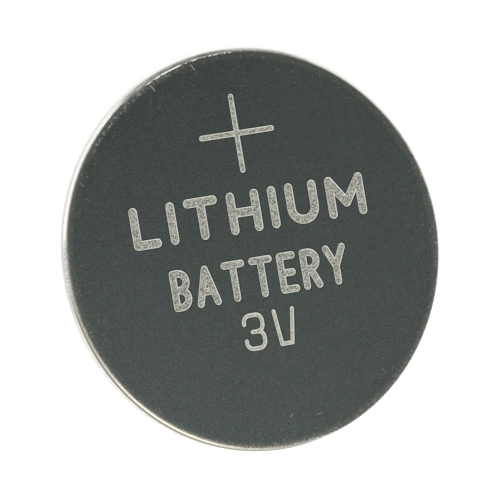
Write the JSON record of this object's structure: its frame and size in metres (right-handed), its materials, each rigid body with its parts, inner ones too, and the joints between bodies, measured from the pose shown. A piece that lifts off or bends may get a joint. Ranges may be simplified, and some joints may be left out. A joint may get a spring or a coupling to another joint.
{
  "type": "lithium coin cell",
  "caption": "Flat round coin cell: a shallow metal can crimped over a gasket and a smaller round cap, positive face up, with the electrodes and separator inside.",
  "frame": {"origin": "middle of the negative contact face, on which the cell lies", "axes": "+Z through the cell towards the positive face; +X along the rows stamped on that face, +Y towards their tops"},
  "size_m": [0.0244, 0.0244, 0.0012],
  "materials": {
    "can_metal": null,
    "cap_metal": "satin nickel plate",
    "gasket_polymer": "translucent natural polypropylene, matt",
    "pellet_black": "pressed powder, matt",
    "mesh_steel": "plain stainless steel",
    "separator_cloth": "non-woven, matt",
    "lithium_metal": "dull soft metal"
  },
  "bodies": {
    "root": {"positive_can": "can_metal", "negative_cap": "cap_metal", "gasket": "gasket_polymer", "cathode_pellet": "pellet_black", "cathode_mesh": "mesh_steel", "separator": "separator_cloth", "lithium_anode": "lithium_metal"}
  },
  "joints": []
}
